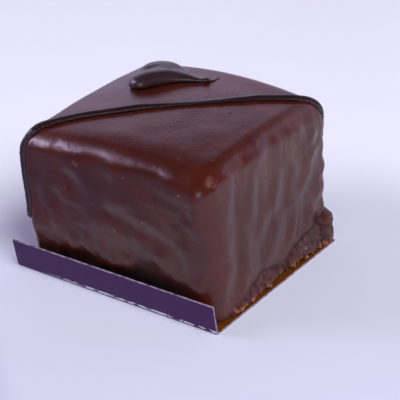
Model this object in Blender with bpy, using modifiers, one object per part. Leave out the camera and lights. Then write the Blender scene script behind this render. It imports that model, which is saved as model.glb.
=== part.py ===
"""A square chocolate gateau for one, with a piped line and a piped heart, on its folded card.

Sizes are in metres, +Z is up, and the origin is the centre of the card's underside.
The card's lip faces -Y. The cake is one solid with its coating's relief: leaning runs on the
right and the back wall, dimples on the front and the left one, and a torn foot.
"""

import math

import bmesh
import bpy
from mathutils import Vector, noise

MM = 0.001

# Card
CARD_WIDTH = 62.4 * MM
CARD_DEPTH = 51.0 * MM
CARD_THICKNESS = 0.5 * MM
LIP_HEIGHT = 7.9 * MM
LIP_LEAN = math.radians(6.6)
FOLD_RADIUS = 0.9 * MM
FOLD_STEPS = 5

# Cake, at its walls before the relief; its top is arched, and more so towards the back
CAKE_WIDTH = 57.1 * MM
CAKE_DEPTH = 49.7 * MM
CAKE_CENTRE = Vector((1.25, 0.85, 0.0)) * MM
REST_GAP = 0.3 * MM
CAKE_BASE = CARD_THICKNESS + REST_GAP
TOP_HEIGHT = 41.6 * MM
SIDE_DROP = 2.5 * MM
SIDE_DROP_GAIN = 0.9 * MM
END_DROP = 1.15 * MM
SIDE_TILT = 0.4 * MM
END_TILT = 1.25 * MM
TOP_FILLET = 4.5 * MM
CORNER_RADIUS = 3.0 * MM
FRONT_CORNER_RADIUS = 5.0 * MM
RIM_CORNER_RADIUS = 1.5 * MM
FRONT_RIM_RADIUS = 4.0 * MM
FRONT_ROLL = 0.33 * MM
FRONT_ROLL_FROM = -15.0 * MM
FRONT_ROLL_WIDTH = 5.0 * MM

# Mesh of the cake: cells across a side, and rows up the wall
CELLS = 30
ARC_CELLS = 2
FOOT_ROWS = (0.0, 0.25, 0.55, 0.8, 0.93, 1.0)
WALL_ROWS = 8
FILLET_ROWS = 5
ROWS = len(FOOT_ROWS) - 1 + WALL_ROWS + FILLET_ROWS

# Runs of coating on the right and the back wall, in millimetres: each has the points of its crest
# along the wall and up it, its half width and its height
RUNS = (
    (((-15.2, 36.0), (-16.8, 28.8), (-17.6, 20.9), (-17.5, 13.0), (-20.0, 5.0)), 1.9, 0.55),
    (((-3.0, 36.5), (-6.2, 33.0), (-7.2, 28.9), (-10.0, 17.2), (-11.5, 10.5), (-13.0, 3.0)), 1.7, 0.7),
    (((6.5, 34.0), (4.3, 28.5), (1.9, 22.2)), 1.6, 0.6),
    (((-1.0, 21.5), (-4.0, 17.8), (-6.1, 14.5), (-9.0, 8.5)), 1.6, 0.45),
    (((19.0, 34.5), (16.3, 23.3), (13.5, 19.7), (6.4, 18.0), (2.1, 12.7), (-0.5, 9.0)), 1.5, 0.55),
    (((13.5, 34.5), (12.5, 29.5), (9.5, 25.0)), 1.5, 0.4),
    (((11.5, 15.5), (9.4, 10.5), (7.0, 7.5)), 1.4, 0.35),
    (((24.0, 31.0), (21.0, 27.0), (18.2, 24.0)), 1.4, 0.4),
    (((25.0, 22.5), (20.5, 17.0), (17.0, 12.0)), 1.5, 0.4),
)
RUN_FLOOR = 0.25 * MM
RUN_LUMPS = 0.25 * MM

# Dimples of the front wall, in millimetres: place along the wall and up it, length, width and depth
DIMPLES = (
    (-12.2, 28.5, 2.6, 1.8, 0.6), (-16.4, 22.8, 2.4, 1.7, 0.5), (-23.4, 21.5, 1.6, 3.0, 0.5),
    (-9.0, 20.2, 3.5, 1.7, 0.5), (-0.8, 22.6, 3.0, 1.6, 0.45), (0.6, 31.0, 2.8, 1.9, 0.4),
    (13.0, 31.2, 7.0, 1.9, 0.5), (11.7, 20.2, 5.0, 1.8, 0.5), (-21.6, 27.8, 2.0, 1.6, 0.4),
    (22.9, 27.5, 2.2, 2.0, 0.4), (25.8, 19.5, 1.8, 5.0, 0.35),
)
DIMPLE_SLOPE = math.radians(-8.0)
SWELL_DEPTH = 0.4 * MM
SWELL_LENGTH = 9.0 * MM
SWELL_WIDTH = 4.5 * MM

# Torn foot of the right wall: its height at places along the wall
FOOT_LINE = tuple((y * MM, z * MM) for y, z in (
    (-20.0, 0.2), (-15.2, 1.0), (-10.2, 2.8), (-4.4, 5.8), (0.0, 5.0),
    (5.5, 3.2), (8.9, 5.6), (17.0, 6.9), (24.6, 9.6),
))
FOOT_REACH = 1.3 * MM
FOOT_CORNER_REACH = 2.1 * MM
FOOT_ROUGHNESS = 0.9 * MM
FOOT_CREVICE = 0.4 * MM
FLARE_REACH = 1.3 * MM
FLARE_HEIGHT = 5.0 * MM
LEAST_FOOT = 2.0 * MM

# Undercut of the front wall: the height of its edge at places along the wall
UNDERCUT_LINE = tuple((x * MM, z * MM) for x, z in (
    (-27.0, 12.0), (-24.5, 10.2), (-18.7, 8.9), (-12.0, 9.4), (-8.3, 10.4), (-5.8, 7.8),
    (-1.0, 8.1), (4.0, 9.6), (7.9, 13.0), (11.5, 11.6), (18.8, 9.5), (26.0, 9.1),
))
UNDERCUT_DEPTH = 1.4 * MM
LEFT_UNDERCUT_HEIGHT = 12.0 * MM

# Piped line, in shares of the half width and half depth inside the top's fillet
LINE_ON_TOP = (
    (-0.99, -0.96), (-0.75, -0.72), (-0.46, -0.48), (-0.13, -0.20), (0.27, 0.15), (0.65, 0.54),
    (0.87, 0.78), (0.985, 0.90),
)
LINE_RADIUS = 0.75 * MM
LINE_LEFT_END = 15.5 * MM
LINE_BACK_END = 24.0 * MM
LINE_POINTS = 64
LINE_END_SHARE = 0.45

# Piped heart, in millimetres: two drops side by side that share a tip, each given by stations of
# its middle line with the half width and the height there
HEART_DROPS = (
    ((-13.2, 7.8, 3.30, 2.80), (-11.8, 9.2, 3.40, 3.10), (-8.8, 11.1, 3.00, 3.06),
     (-6.4, 12.4, 2.50, 2.20), (-2.9, 13.2, 1.60, 1.06), (0.4, 13.8, 0.85, 0.45),
     (2.0, 14.6, 0.90, 0.60)),
    ((-14.0, 13.5, 3.30, 3.40), (-12.5, 14.1, 3.30, 3.43), (-9.5, 14.4, 3.00, 3.07),
     (-6.5, 14.6, 2.20, 1.45), (-3.3, 14.7, 1.40, 0.62), (-0.1, 14.5, 0.85, 0.35),
     (2.0, 14.6, 0.80, 0.50)),
)
DROP_STEPS = 24
HEART_MIDDLE = Vector((-8.5, 12.8)) * MM
HEART_RIM = 0.35 * MM
TAIL_TURN = math.radians(9.0)
TAIL_CROWDING = 0.6
HEART_SEGMENTS = 48
HEART_RINGS = 14

COATING_COLOUR = (0.075, 0.020, 0.012, 1.0)
PIPING_COLOUR = (0.022, 0.010, 0.009, 1.0)
GOLD_COLOUR = (0.45, 0.22, 0.05, 1.0)


def clear_scene():
    for old in list(bpy.data.objects):
        bpy.data.objects.remove(old)


def new_collection(name):
    collection = bpy.data.collections.new(name)
    bpy.context.scene.collection.children.link(collection)
    return collection


def new_material(name, colour, roughness, metallic=0.0):
    material = bpy.data.materials.new(name)
    material.use_nodes = True
    shader = material.node_tree.nodes["Principled BSDF"]
    shader.inputs["Base Color"].default_value = colour
    shader.inputs["Roughness"].default_value = roughness
    shader.inputs["Metallic"].default_value = metallic
    return material


def mesh_object(name, form, collection, material):
    mesh = bpy.data.meshes.new(name)
    form.to_mesh(mesh)
    form.free()
    mesh.materials.append(material)
    mesh.shade_smooth()
    obj = bpy.data.objects.new(name, mesh)
    collection.objects.link(obj)
    return obj


def blend(a, b, share):
    return a + (b - a) * share


def smooth_step(low, high, x):
    """Rises smoothly from 0 at low to 1 at high, or falls where low is the larger."""
    share = min(max((x - low) / (high - low), 0.0), 1.0)
    return share * share * (3.0 - 2.0 * share)


def hump(x, width):
    return math.exp(-((x / width) ** 2))


def along_line(line, x):
    """The height of a line of stations, each a place and a height, at a place between them."""
    if x <= line[0][0]:
        return line[0][1]
    for (x0, z0), (x1, z1) in zip(line, line[1:]):
        if x <= x1:
            return blend(z0, z1, smooth_step(x0, x1, x))
    return line[-1][1]


def wander(x, y, seed):
    """Smooth noise between -1 and 1, on millimetre-sized places; the seed picks a stretch of it."""
    return noise.noise(Vector((x, y, seed)))


# Relief of the walls: how far the surface stands out, at a place along a wall and a height

def distance_to(line, x, z):
    """How far a place is from a line of points."""
    nearest = 1000.0
    for (x0, z0), (x1, z1) in zip(line, line[1:]):
        run, rise = x1 - x0, z1 - z0
        share = ((x - x0) * run + (z - z0) * rise) / (run * run + rise * rise)
        share = min(max(share, 0.0), 1.0)
        nearest = min(nearest, math.hypot(x - x0 - share * run, z - z0 - share * rise))
    return nearest


def run_relief(along, z, seed):
    """Crests where coating ran down the wall, with lumps between them."""
    x, y = along / MM, z / MM
    crests = sum(height * hump(distance_to(line, x, y), half) for line, half, height in RUNS)
    lumps = wander(along / 3.5 / MM, z / 6.0 / MM, seed + 3.0)
    return crests * MM - RUN_FLOOR + RUN_LUMPS * lumps


def swell_relief(along, z, seed):
    """Low swells, drawn out along the wall."""
    level = z + 0.15 * along
    broad = wander(along / SWELL_LENGTH, level / SWELL_WIDTH, seed)
    small = wander(along / SWELL_LENGTH * 2.2, level / SWELL_WIDTH * 2.0, seed + 5.0)
    return SWELL_DEPTH * (broad + 0.4 * small)


def dimple_relief(along, z):
    """Shallow dents, drawn out on a slope."""
    dents = 0.0
    for x, level, length, width, depth in DIMPLES:
        aside, above = along / MM - x, z / MM - level
        run = aside * math.cos(DIMPLE_SLOPE) + above * math.sin(DIMPLE_SLOPE)
        across = above * math.cos(DIMPLE_SLOPE) - aside * math.sin(DIMPLE_SLOPE)
        dents += depth * hump(run, length) * hump(across, width)
    return -dents * MM


# Foot of each wall

def foot_height(along):
    return along_line(FOOT_LINE, along)


def undercut_height(along):
    return along_line(UNDERCUT_LINE, along)


def left_height(along):
    return LEFT_UNDERCUT_HEIGHT + 1.2 * MM * wander(along / 6.0 / MM, 0.0, 47.0)


def foot_relief(along, z):
    """The torn band below its edge: steep at the far corner, a rough slope elsewhere."""
    height = foot_height(along)
    if z > height:
        return -FOOT_CREVICE * hump(z - height, 0.5 * MM) * smooth_step(1.5 * MM, 4.0 * MM, height)
    corner = smooth_step(17.0 * MM, 22.0 * MM, along)
    slope = 1.0 - (z / height) ** blend(1.3, 7.0, corner)
    rough = FOOT_ROUGHNESS * wander(along / 1.7 / MM, z / 1.7 / MM, 53.0)
    reach = blend(FOOT_REACH, FOOT_CORNER_REACH, corner) + rough
    return reach * slope - FOOT_CREVICE * hump(z - height, 0.6 * MM)


def run_wall(along, z, seed):
    """The right wall, and the back one, whose places are counted away from the corner they share."""
    flare = FLARE_REACH * math.exp(-z / FLARE_HEIGHT) * smooth_step(12.0 * MM, -16.0 * MM, along)
    return run_relief(along, z, seed) + max(foot_relief(along, z), flare)


def front_wall(along, z):
    fade = smooth_step(26.0 * MM, 20.0 * MM, along)
    sunk = UNDERCUT_DEPTH * fade if z < 0.96 * undercut_height(along) else 0.0
    return dimple_relief(along, z) + swell_relief(along, z, 23.0) - sunk


def left_wall(along, z):
    sunk = UNDERCUT_DEPTH if z < 0.96 * left_height(along) else 0.0
    return swell_relief(along, z, 14.0) - sunk


def back_place(x):
    """The back wall's place that matches a place on the right wall, as the corner's mirror."""
    shared_corner = CAKE_CENTRE + Vector((CAKE_WIDTH, CAKE_DEPTH, 0.0)) / 2
    return x - shared_corner.x + shared_corner.y


def wall_relief(place, z, out):
    side = run_wall(place.y, z, 2.0) if out.x > 0.0 else left_wall(place.y, z)
    end = run_wall(back_place(place.x), z, 2.0) if out.y > 0.0 else front_wall(place.x, z)
    return side * out.x**2 + end * out.y**2


def foot_top(place, out):
    """The height up to which the wall's rows follow its foot."""
    side = foot_height(place.y) if out.x > 0.0 else left_height(place.y)
    end = foot_height(back_place(place.x)) if out.y > 0.0 else undercut_height(place.x)
    return max(side * out.x**2 + end * out.y**2, LEAST_FOOT)


# The cake's surface, from a place on the surface of a cube that runs from -1 to 1

def outline_point(u, v, inset):
    """A place on the rounded outline and its outward direction, from a place on a square's edge."""
    corner = FRONT_CORNER_RADIUS if u > 0.0 > v else CORNER_RADIUS
    rim = FRONT_RIM_RADIUS if u > 0.0 > v else RIM_CORNER_RADIUS
    radius = blend(corner, rim, inset / TOP_FILLET)
    half = Vector((CAKE_WIDTH, CAKE_DEPTH)) / 2 - Vector((inset, inset))
    on_side_wall = abs(u) >= abs(v)
    if not on_side_wall:
        half = half.yx
    share = min(abs(u), abs(v))
    bend = 1.0 - 2.0 * ARC_CELLS / CELLS
    turn = math.radians(45.0) * max(share - bend, 0.0) / (1.0 - bend)
    run = min(share / bend, 1.0) * (half.y - radius) + radius * math.sin(turn)
    place = Vector((half.x - radius + radius * math.cos(turn), run))
    out = Vector((math.cos(turn), math.sin(turn)))
    if not on_side_wall:
        place, out = place.yx, out.yx
    signs = Vector((math.copysign(1.0, u), math.copysign(1.0, v)))
    return place * signs + CAKE_CENTRE.xy, out * signs


def top_height(place):
    across = 2.0 * (place.x - CAKE_CENTRE.x) / CAKE_WIDTH
    along = 2.0 * (place.y - CAKE_CENTRE.y) / CAKE_DEPTH
    sides = (SIDE_DROP + SIDE_DROP_GAIN * along) * across**2 - SIDE_TILT * across
    roll = FRONT_ROLL * (max(FRONT_ROLL_FROM - place.y, 0.0) / FRONT_ROLL_WIDTH) ** 2
    return TOP_HEIGHT - sides - END_DROP * along**2 + END_TILT * along - roll


def top_point(u, v):
    """A point inside the top's fillet: a plain grid that turns into the rim's own shape."""
    ring = max(abs(u), abs(v))
    half = Vector((CAKE_WIDTH, CAKE_DEPTH)) / 2 - Vector((TOP_FILLET, TOP_FILLET))
    place = Vector((u, v)) * half + CAKE_CENTRE.xy
    if ring > 0.0:
        rim, _ = outline_point(u / ring, v / ring, TOP_FILLET)
        place = place.lerp(CAKE_CENTRE.xy.lerp(rim, ring), ring**4)
    return Vector((*place, top_height(place)))


def wall_point(u, v, row):
    """A point of the wall or of the fillet above it, at a row counted from the base."""
    first_fillet_row = ROWS - FILLET_ROWS
    last_foot_row = len(FOOT_ROWS) - 1
    angle = math.radians(90.0) * max(row - first_fillet_row, 0.0) / FILLET_ROWS
    place, out = outline_point(u, v, TOP_FILLET * (1.0 - math.cos(angle)))
    fillet_foot = top_height(place) - TOP_FILLET
    foot = foot_top(place, out)
    if row > first_fillet_row:
        z = fillet_foot + TOP_FILLET * math.sin(angle)
    elif row > last_foot_row:
        z = blend(foot, fillet_foot, (row - last_foot_row) / WALL_ROWS)
    else:
        low = min(int(row), last_foot_row - 1)
        z = blend(CAKE_BASE, foot, blend(FOOT_ROWS[low], FOOT_ROWS[low + 1], row - low))
    stand = wall_relief(place, z, out) * math.cos(angle)
    return Vector((*(place + out * stand), z))


def cake_point(u, v, w):
    if w >= 1.0:
        return top_point(u, v)
    return wall_point(u, v, (w + 1.0) / 2.0 * ROWS)


def make_cake(collection, material):
    """A cube, cut into cells and rows, with every point moved to the cake's surface."""
    form = bmesh.new()
    bmesh.ops.create_cube(form, size=2.0)
    for axis, cells in enumerate((CELLS, CELLS, ROWS)):
        edges = [e for e in form.edges if abs(e.verts[0].co[axis] - e.verts[1].co[axis]) > 1.0]
        bmesh.ops.subdivide_edges(form, edges=edges, cuts=cells - 1, use_grid_fill=True)
    under = [v for v in form.verts if v.co.z < -0.999 and max(abs(v.co.x), abs(v.co.y)) < 0.999]
    bmesh.ops.dissolve_verts(form, verts=under)
    for v in form.verts:
        v.co = cake_point(*v.co)
    bmesh.ops.recalc_face_normals(form, faces=form.faces)
    return mesh_object("gateau", form, collection, material)


# Piped line

def smooth_curve_point(points, place):
    """A point of a smooth curve through the points, at a place counted in points."""
    low = min(int(place), len(points) - 2)
    t = place - low
    a, b = points[low], points[low + 1]
    before = points[low - 1] if low else 2.0 * a - b
    after = points[low + 2] if low + 2 < len(points) else 2.0 * b - a
    pull = 2.0 * before - 5.0 * a + 4.0 * b - after
    bend = 3.0 * (a - b) + after - before
    return a + 0.5 * ((b - before) * t + pull * t**2 + bend * t**3)


def line_route():
    """The line's way over the cake: up the left corner, across the top and down the back wall."""
    wall_row = len(FOOT_ROWS) - 1
    rim_row = wall_row + WALL_ROWS

    def row_at(z, foot):
        return wall_row + (z - foot) / (TOP_HEIGHT - SIDE_DROP - TOP_FILLET - foot) * WALL_ROWS

    left_end = row_at(LINE_LEFT_END, LEFT_UNDERCUT_HEIGHT)
    back_end = row_at(LINE_BACK_END, FOOT_LINE[-1][1])
    route = [wall_point(-1.0, -1.0, blend(left_end, rim_row, step / 4)) for step in range(5)]
    route += [wall_point(-1.0, -1.0, rim_row + FILLET_ROWS * share) for share in (0.35, 0.7)]
    route += [top_point(u, v) for u, v in LINE_ON_TOP]
    route.append(wall_point(1.0, 0.97, rim_row + 0.65 * FILLET_ROWS))
    route.append(wall_point(1.0, 1.0, rim_row + 0.3 * FILLET_ROWS))
    route += [wall_point(0.93, 1.0, rim_row - 0.5), wall_point(0.88, 1.0, back_end)]
    return route


def make_line(collection, material):
    """The piped line as a tube, half sunk in the coating."""
    route = line_route()
    curve = bpy.data.curves.new("piped_line", "CURVE")
    curve.dimensions = "3D"
    curve.bevel_depth = LINE_RADIUS
    curve.bevel_resolution = 2
    curve.use_fill_caps = True
    spline = curve.splines.new("POLY")
    spline.points.add(LINE_POINTS - 1)
    for k, point in enumerate(spline.points):
        place = k / (LINE_POINTS - 1) * (len(route) - 1)
        point.co = (*smooth_curve_point(route, place), 1.0)
        point.radius = LINE_END_SHARE if k in (0, LINE_POINTS - 1) else 1.0
    tube = bpy.data.objects.new("piped_line", curve)
    collection.objects.link(tube)
    bpy.context.view_layer.update()
    evaluated = tube.evaluated_get(bpy.context.evaluated_depsgraph_get())
    form = bmesh.new()
    form.from_mesh(bpy.data.meshes.new_from_object(evaluated))
    bmesh.ops.remove_doubles(form, verts=form.verts, dist=0.00001)
    bpy.data.objects.remove(tube)
    return mesh_object("piped_line", form, collection, material)


def fuse(target, piece):
    """Joins a piece to the target, and removes the piece."""
    union = target.modifiers.new("fuse", "BOOLEAN")
    union.operation = "UNION"
    union.solver = "MANIFOLD"
    union.object = piece
    bpy.context.view_layer.update()
    evaluated = target.evaluated_get(bpy.context.evaluated_depsgraph_get())
    mesh = bpy.data.meshes.new_from_object(evaluated)
    target.modifiers.clear()
    target.data = mesh
    bpy.data.objects.remove(piece)


# Piped heart

def drop_stations(drop):
    """Close stations on a smooth line through a drop's own ones."""
    points = [Vector(station) * MM for station in drop]
    last = len(points) - 1
    return [smooth_curve_point(points, last * k / DROP_STEPS) for k in range(DROP_STEPS + 1)]


def drop_crown(place, stations):
    """The height of one drop above its rim at a place, and 0 outside it."""
    crown = 0.0
    for a, b in zip(stations, stations[1:]):
        way = b.xy - a.xy
        share = min(max((place - a.xy).dot(way) / way.length_squared, 0.0), 1.0)
        middle = a.lerp(b, share)
        off = (place - middle.xy).length / middle.z
        crown = max(crown, middle.w * math.sqrt(max(1.0 - off * off, 0.0)))
    return crown


def heart_crown(place, drops):
    """The height of both drops, which melt into each other where they meet."""
    return sum((drop_crown(place, stations) / MM) ** 6 for stations in drops) ** (1.0 / 6.0) * MM


def heart_edge(direction, drops):
    """How far the heart's edge is from its middle in a direction."""
    near, far = 0.0, 14.0 * MM
    for _ in range(24):
        reach = (near + far) / 2
        if heart_crown(HEART_MIDDLE + direction * reach, drops) > 0.0:
            near = reach
        else:
            far = reach
    return near


def heart_direction(place):
    """The direction of a point of the ball, drawn towards the tail."""
    turn = math.atan2(place.y, place.x)
    turn -= TAIL_CROWDING * math.sin(turn - TAIL_TURN)
    return Vector((math.cos(turn), math.sin(turn)))


def make_heart(collection, material):
    """A sphere whose points move to the heart's outline, and up to its crown or down to the cake."""
    form = bmesh.new()
    bmesh.ops.create_uvsphere(form, u_segments=HEART_SEGMENTS, v_segments=HEART_RINGS, radius=1.0)
    drops = [drop_stations(drop) for drop in HEART_DROPS]
    for v in form.verts:
        ring = math.asin(min(v.co.xy.length, 1.0)) / math.radians(90.0)
        direction = heart_direction(v.co.xy)
        place = HEART_MIDDLE + direction * heart_edge(direction, drops) * ring
        z = top_height(place) + REST_GAP
        if v.co.z > -0.001:
            z += HEART_RIM + heart_crown(place, drops)
        v.co = Vector((*place, z))
    bmesh.ops.recalc_face_normals(form, faces=form.faces)
    return mesh_object("chocolate_heart", form, collection, material)


# Card

def card_profile():
    """The middle of the sheet from its back edge to the lip's top edge, as places along Y and Z."""
    middle = CARD_THICKNESS / 2
    fold_y = -CARD_DEPTH / 2 + FOLD_RADIUS
    bend = FOLD_RADIUS - middle
    fold_angle = math.radians(90.0) - LIP_LEAN
    profile = [(CARD_DEPTH / 2, middle), (fold_y, middle)]
    for step in range(1, FOLD_STEPS + 1):
        turn = fold_angle * step / FOLD_STEPS
        profile.append((fold_y - bend * math.sin(turn), middle + bend * (1.0 - math.cos(turn))))
    lip_y, lip_z = profile[-1]
    profile.append((lip_y - (LIP_HEIGHT - lip_z) * math.tan(LIP_LEAN), LIP_HEIGHT))
    return profile


def make_card(collection, material):
    """One folded sheet: a line drawn out to the card's width, and given its thickness."""
    form = bmesh.new()
    points = [form.verts.new((-CARD_WIDTH / 2, y, z)) for y, z in card_profile()]
    edges = [form.edges.new(pair) for pair in zip(points, points[1:])]
    drawn = bmesh.ops.extrude_edge_only(form, edges=edges)["geom"]
    far = [v for v in drawn if isinstance(v, bmesh.types.BMVert)]
    bmesh.ops.translate(form, verts=far, vec=(CARD_WIDTH, 0.0, 0.0))
    card = mesh_object("pastry_card", form, collection, material)
    sheet = card.modifiers.new("sheet", "SOLIDIFY")
    sheet.thickness = CARD_THICKNESS
    sheet.offset = 0.0
    sheet.use_even_offset = True
    card.data.set_sharp_from_angle(angle=math.radians(40.0))


def main():
    clear_scene()
    parts = new_collection("chocolate_gateau")
    coating = new_material("coating", COATING_COLOUR, 0.35)
    piping = new_material("piping", PIPING_COLOUR, 0.3)
    gold = new_material("gold_card", GOLD_COLOUR, 0.35, 0.8)
    cake = make_cake(parts, coating)
    fuse(cake, make_line(parts, piping))
    make_heart(parts, piping)
    make_card(parts, gold)


main()
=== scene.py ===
"""Looks of a square chocolate gateau for one: coated cake, piped line, piped heart and folded card.

Sizes are in metres, or in millimetres where a comment says so, in the part's own frame: +Z is up and
the card's lip faces -Y.
"""

import math

import bmesh
import bpy
from mathutils import Matrix, Vector, noise


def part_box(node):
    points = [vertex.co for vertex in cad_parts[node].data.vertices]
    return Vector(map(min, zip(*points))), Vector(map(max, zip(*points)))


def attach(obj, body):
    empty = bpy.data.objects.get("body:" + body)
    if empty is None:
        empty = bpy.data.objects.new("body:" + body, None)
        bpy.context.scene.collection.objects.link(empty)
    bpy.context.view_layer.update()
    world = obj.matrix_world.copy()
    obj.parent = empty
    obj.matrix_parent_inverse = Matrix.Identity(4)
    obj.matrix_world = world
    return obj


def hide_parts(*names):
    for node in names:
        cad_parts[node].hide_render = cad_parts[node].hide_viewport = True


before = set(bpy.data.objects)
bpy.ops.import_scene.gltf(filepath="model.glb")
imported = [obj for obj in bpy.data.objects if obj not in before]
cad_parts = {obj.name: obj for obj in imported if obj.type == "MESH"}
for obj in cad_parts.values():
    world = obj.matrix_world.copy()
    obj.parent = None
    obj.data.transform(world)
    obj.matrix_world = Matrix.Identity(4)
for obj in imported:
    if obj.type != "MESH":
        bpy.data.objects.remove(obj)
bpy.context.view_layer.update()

MM = 0.001

# A pair of places named ABOVE, BELOW, FROM, START, END or FADE is where a form begins to change and
# where it has changed

# Camera
CAMERA_PLACE = Vector((196.5, -234.7, 174.4)) * MM
CAMERA_AZIMUTH = math.radians(38.6546)
CAMERA_ELEVATION = math.radians(27.5530)
CAMERA_ROLL = math.radians(-4.1423)
CAMERA_LENS = 124.69

# Card
CARD_THICKNESS = 0.5 * MM
LIP_HEIGHT = 7.9 * MM

# Cake
CAKE_WIDTH = 57.1 * MM
CAKE_DEPTH = 49.7 * MM
CAKE_CENTRE = Vector((1.25, 0.85, 0.0)) * MM
REST_GAP = 0.3 * MM
CAKE_BASE = CARD_THICKNESS + REST_GAP
TOP_HEIGHT = 41.6 * MM
SIDE_DROP = 2.5 * MM
SIDE_DROP_GAIN = 0.9 * MM
END_DROP = 1.15 * MM
SIDE_TILT = 0.4 * MM
END_TILT = 1.25 * MM
TOP_FILLET = 4.5 * MM
CORNER_RADIUS = 3.0 * MM
FRONT_CORNER_RADIUS = 5.0 * MM
RIM_CORNER_RADIUS = 1.5 * MM
FRONT_RIM_RADIUS = 4.0 * MM
FRONT_ROLL = 0.40 * MM
FRONT_ROLL_FROM = -15.0 * MM
FRONT_ROLL_WIDTH = 5.0 * MM
TOP_UNEVENNESS = 0.10 * MM
CORNER_SHARE = 2.0 / 15.0

# Cells of the cake's skin: cuts are made in two goes, so each count is a product
SIDE_CUTS = (12, 10)
FOOT_CELLS = 24
WALL_CELLS = 62
FILLET_CELLS = 18
ROW_CUTS = (8, 13)

# Runs of coating on the right and the back wall, in millimetres: each has the points of its crest
# along the wall and up it, its half width and its height
RUNS = (
    (((-15.2, 36.0), (-16.8, 28.8), (-17.6, 20.9), (-17.5, 13.0), (-20.0, 5.0)), 1.9, 0.55),
    (((-3.0, 36.5), (-6.2, 33.0), (-7.2, 28.9), (-10.0, 17.2), (-11.5, 10.5), (-13.0, 3.0)), 1.7, 0.7),
    (((6.5, 34.0), (4.3, 28.5), (1.9, 22.2)), 1.6, 0.6),
    (((-1.0, 21.5), (-4.0, 17.8), (-6.1, 14.5), (-9.0, 8.5)), 1.6, 0.45),
    (((19.0, 34.5), (16.3, 23.3), (13.5, 19.7), (6.4, 18.0), (2.1, 12.7), (-0.5, 9.0)), 1.5, 0.55),
    (((13.5, 34.5), (12.5, 29.5), (9.5, 25.0)), 1.5, 0.4),
    (((11.5, 15.5), (9.4, 10.5), (7.0, 7.5)), 1.4, 0.35),
    (((24.0, 31.0), (21.0, 27.0), (18.2, 24.0)), 1.4, 0.4),
    (((25.0, 22.5), (20.5, 17.0), (17.0, 12.0)), 1.5, 0.4),
)
RUN_FLOOR = 0.35 * MM
RUN_BREADTH = 1.7
RUN_SHARE = 0.78
RUN_LUMPS = 0.34 * MM
SCALLOP_DEPTH = 0.17 * MM
SCALLOP_HEIGHT = 5.4 * MM
SCALLOPS_ABOVE = (9.0 * MM, 14.0 * MM)
SCALLOPS_FROM = (10.0 * MM, 22.0 * MM)
RELIEF_FADE = (40.5 * MM, 36.5 * MM)

# Dimples of the front wall, in millimetres: place along the wall and up it, length, width and depth
DIMPLES = (
    (-12.2, 28.5, 2.6, 1.8, 0.6), (-16.4, 22.8, 2.4, 1.7, 0.5), (-23.4, 21.5, 1.6, 3.0, 0.5),
    (-9.0, 20.2, 3.5, 1.7, 0.5), (-0.8, 22.6, 3.0, 1.6, 0.45), (0.6, 31.0, 2.8, 1.9, 0.4),
    (13.0, 31.2, 7.0, 1.9, 0.5), (11.7, 20.2, 5.0, 1.8, 0.5), (-21.6, 27.8, 2.0, 1.6, 0.4),
    (22.9, 27.5, 2.2, 2.0, 0.4), (25.8, 19.5, 1.8, 5.0, 0.35),
)
DIMPLE_SLOPE = math.radians(-8.0)
DIMPLE_SHARE = 0.9
DIMPLE_SOFTNESS = (1.15, 1.25)
SWELL_DEPTH = 0.44 * MM
SWELL_LENGTH = 7.5 * MM
SWELL_WIDTH = 5.5 * MM
SWELL_SLOPE = 0.03
DRIP_DEPTH = 0.3 * MM
DRIPS_BELOW = (27.0 * MM, 17.0 * MM)

# Torn foot
FOOT_LINE = tuple((y * MM, z * MM) for y, z in (
    (-22.0, 0.2), (-19.8, 1.4), (-17.2, 2.3), (-15.0, 3.1), (-12.9, 3.6), (-8.8, 4.6),
    (-4.4, 5.8), (0.0, 5.0), (5.5, 3.2), (8.9, 5.6), (17.0, 6.9), (24.6, 9.6),
))
FOOT_REACH = 1.15 * MM
FOOT_CORNER_REACH = 2.1 * MM
FOOT_ROUGHNESS = 0.55 * MM
FOOT_CREVICE = 1.0 * MM
FOOT_RAGGED = 0.35 * MM
FAR_PIECE_FROM = (20.3 * MM, 21.6 * MM)
CRACK_PLACE = 20.4 * MM
CRACK_DEPTH = 1.6 * MM
BEADS_START = (8.0 * MM, 12.0 * MM)
BEADS_END = (21.0 * MM, 20.0 * MM)
FLARE_REACH = 0.5 * MM
FLARE_HEIGHT = 5.0 * MM
FLARE_FADE = (12.0 * MM, -16.0 * MM)
LEAST_FOOT = 2.0 * MM
RIM_LINE = tuple((y * MM, z * MM) for y, z in (
    (-22.0, 0.9), (-13.0, 1.0), (-6.5, 1.1), (-1.6, 1.5), (2.8, 1.9), (5.9, 2.2), (11.0, 1.8), (16.2, 1.3),
    (20.8, 1.0),
))
RIM_UNDERCUT = 2.2 * MM
RIM_RAGGED = 0.35 * MM

# Undercut above the lip
UNDERCUT_LINE = tuple((x * MM, z * MM) for x, z in (
    (-27.0, 9.8), (-24.5, 9.0), (-18.7, 8.0), (-12.0, 8.3), (-8.3, 9.1), (-5.8, 7.3),
    (-1.0, 7.8), (4.0, 9.0), (7.9, 12.0), (11.5, 11.0), (18.8, 9.3), (26.0, 9.1),
))
UNDERCUT_DEPTH = 1.4 * MM
UNDERCUT_RAGGED = 0.3 * MM
UNDERCUT_LEFT_FADE = (-26.0 * MM, -20.0 * MM)
UNDERCUT_RIGHT_FADE = (26.0 * MM, 18.0 * MM)
UNDERCUT_SOFT_FROM = (6.0 * MM, 11.0 * MM)
# From here the shade painted into the front undercut fades out towards its left end
HOLLOW_SHADE_FROM = (-27.0 * MM, -22.0 * MM)
LEFT_UNDERCUT_HEIGHT = 12.0 * MM
LEFT_UNDERCUT_RAGGED = 1.2 * MM

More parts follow.
